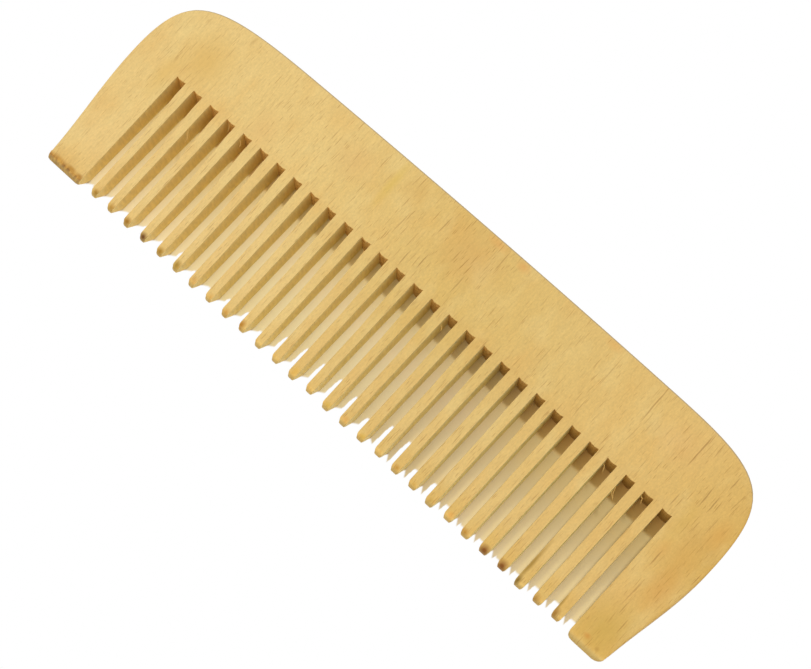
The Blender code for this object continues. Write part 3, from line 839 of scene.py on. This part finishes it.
def table_grid():
    """Flat grid, fine round the mouths of the kerfs, and how far each of its points shows plain white and the
    painted light of the paler right side of a shaded mouth.

    The white ends along Y at a curve over the place across a kerf: a gentle slope over its left third,
    then a steep rise to the kerf's own height. In the kerfs on the right a tongue of the table's tone
    hangs down between the two."""
    to_right = np.array([OPEN_X, OPEN_X + SIDE_FADE, TABLE_HALF])
    to_front, to_back = [-TABLE_HALF, FRONT_ROW], [PALE_FROM_Y, OPEN_Y, OPEN_Y + BACK_FADE, TABLE_HALF]
    x = np.concatenate([-to_right[::-1], np.arange(*FINE_X, STEP_X), to_right])
    y = np.concatenate([to_front, np.arange(*FINE_Y, STEP_Y), to_back])
    x, y = np.meshgrid(x, y)
    from_first_kerf = x + BLOCK_HALF - TEETH_X
    kerf = np.floor((from_first_kerf + KERF_LEAD) / TOOTH_PITCH)
    kerf = np.clip(kerf, 0, KERF_COUNT - 1).astype(int)
    across = (from_first_kerf - kerf * TOOTH_PITCH) / KERF_WIDTH
    edge = np.interp(across, *MOUTH_CURVE)
    edge += (np.array(WHITE_UP_TO)[kerf] - USUAL_WHITE) * np.interp(across, *RISE_SHARES)
    edge -= np.clip(kerf - TONGUE_FROM, 0, TONGUE_LENGTH) * np.interp(across, *TONGUE_SHARES)
    edge[kerf == 0] -= FIRST_MOUTH_DROP
    edge += SIGHT_SHARE * (edge - SIGHT_Y)
    white = np.clip((edge - y) / WHITE_EDGE + 0.5, 0, 1)
    white = np.maximum(white, np.clip((np.abs(x) - OPEN_X) / SIDE_FADE, 0, 1))
    white = np.maximum(white, np.clip((y - OPEN_Y) / BACK_FADE, 0, 1))
    # Painted light on the table: the paler right side of the mouths
    pale = np.interp(across, *PALE_SHARES)
    pale *= np.clip((PALE_FROM_Y - y) / PALE_LENGTH, 0, 1)
    pale *= np.clip((kerf - PALE_FROM) / PALE_KERFS, 0, 1)
    number = np.arange(x.size).reshape(x.shape)
    faces = np.stack([number[:-1, :-1], number[:-1, 1:], number[1:, 1:], number[1:, :-1]], -1).reshape(-1, 4)
    return np.stack([x, y, 0 * x], -1).reshape(-1, 3), faces, white.ravel(), pale.ravel()


def cream_card():
    """Matt cream card under the comb. In the kerfs its tone carries painted shade and light: warmer and
    darker at the kerf ends, where their shadow falls, with a step at the shadow's edge, more yellow where
    painted light stands for the wood's glow on it, paler in the middle kerfs, darker towards the right and
    paler on the right side of some mouths. In the open the camera sees it as plain white."""
    material, tree, surface = new_material("cream_card", shine=0.1)
    surface.inputs["Roughness"].default_value = 0.8
    add = partial(node, tree)
    mm = add("Mapping", Vector=add("TexCoord", output="Object"), Scale=[1 / MM] * 3)
    x = add("SeparateXYZ", mm, output="X")
    y = add("SeparateXYZ", mm, output="Y")
    # Painted shade and light down the kerfs: warm and dark at the ends of the outer kerfs, with a step at the
    # shadow's edge, pale in the middle kerfs
    down = add("MapRange", y, *KERF_RUN_Y, 0, 1)
    outer = add("ValToRGB", down, stops=OUTER_KERFS)
    middle = add("ValToRGB", down, stops=MIDDLE_KERFS)
    from_middle = add("Math", add("Math", x, -MIDDLE_X, operation="ADD"), operation="ABSOLUTE")
    in_middle = add("MapRange", from_middle, *MIDDLE_FADE, 0, 1)
    tone = add("Mix", in_middle, outer, middle, data_type="RGBA")
    # Painted shade: the card darkens towards the right
    along_comb = add("ValToRGB", add("MapRange", x, *RAMP_X, 0, 1), stops=ALONG_COMB)
    tone = add("Mix", 1.0, tone, along_comb, data_type="RGBA", blend_type="MULTIPLY")
    # Painted light: the paler right side of the mouths
    pale = add("Attribute", output="Fac", attribute_name="pale")
    tone = add("Mix", pale, tone, linear("#ECDBB0"), data_type="RGBA")
    tree.links.new(tone, surface.inputs["Base Color"])

    seen = add("LightPath", output="Is Camera Ray")
    for ray in ("Is Glossy Ray", "Is Transmission Ray"):
        seen = add("Math", seen, add("LightPath", output=ray), operation="MAXIMUM")
    in_open = add("Attribute", output="Fac", attribute_name="open")
    white_share = add("Math", in_open, seen, operation="MULTIPLY")
    white = add("Emission", (1, 1, 1, 1), 1.0)
    both = add("MixShader", white_share, surface.outputs["BSDF"], white)
    tree.links.new(both, tree.nodes["Material Output"].inputs["Surface"])
    return material


def table_top():
    """The table, a hair's breadth below the comb."""
    points, faces, in_open, pale = table_grid()
    top = new_piece("table_top", points, faces, cream_card())
    top.data.attributes.new("open", "FLOAT", "POINT").data.foreach_set("value", in_open)
    top.data.attributes.new("pale", "FLOAT", "POINT").data.foreach_set("value", pale)
    top.location.z = -0.05 * MM


# The camera's place, its turn in degrees, and its lens on a sensor 36 mm wide, fitted to the photograph
CAMERA_PLACE = (73.798, -50.064, 352.993)
CAMERA_TURN = (13.3848, 3.0316, 43.0556)
SENSOR_WIDTH = 36
LENS_LENGTH = 84.27


def sunlight(name, source, spread, strength):
    """Even parallel light from the way of the source, softened over an angle in degrees."""
    light = bpy.data.lights.new(name, "SUN")
    light.angle = radians(spread)
    light.energy = strength
    made = bpy.data.objects.new(name, light)
    made.rotation_euler = Vector(source).to_track_quat("Z", "Y").to_euler()
    bpy.context.scene.collection.objects.link(made)


def light_and_camera():
    """Even light all round, a small light from behind the back that throws the shade of the kerf ends
    along the kerfs, a wide one from above, and the camera above the right guard."""
    scene = bpy.context.scene
    scene.view_settings.view_transform = "Standard"
    scene.world = bpy.data.worlds.new("studio")
    scene.world.use_nodes = True
    sky = scene.world.node_tree.nodes["Background"]
    sky.inputs["Color"].default_value = (1, 1, 1, 1)
    sky.inputs["Strength"].default_value = 0.56
    sunlight("back_light", (0.07, 0.65, 1.0), spread=4.5, strength=0.98)
    sunlight("top_light", (-0.1, -0.2, 1.0), spread=26, strength=0.58)
    lens = bpy.data.cameras.new("camera")
    lens.sensor_width = SENSOR_WIDTH
    lens.lens = LENS_LENGTH
    lens.clip_start = 10 * MM
    camera = bpy.data.objects.new("camera", lens)
    camera.location = [length * MM for length in CAMERA_PLACE]
    camera.rotation_euler = [radians(angle) for angle in CAMERA_TURN]
    scene.collection.objects.link(camera)
    scene.camera = camera


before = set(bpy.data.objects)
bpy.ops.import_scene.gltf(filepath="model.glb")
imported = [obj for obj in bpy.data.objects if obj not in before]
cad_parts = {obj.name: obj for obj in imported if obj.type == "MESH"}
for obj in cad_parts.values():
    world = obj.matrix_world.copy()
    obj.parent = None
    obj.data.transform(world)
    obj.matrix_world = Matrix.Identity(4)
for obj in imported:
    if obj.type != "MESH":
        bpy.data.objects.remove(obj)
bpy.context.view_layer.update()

comb = comb_board(beech())
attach(comb, "root")
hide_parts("comb")
fibres = torn_fibres(pale_fibre())
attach(fibres, "root")
table_top()
light_and_camera()
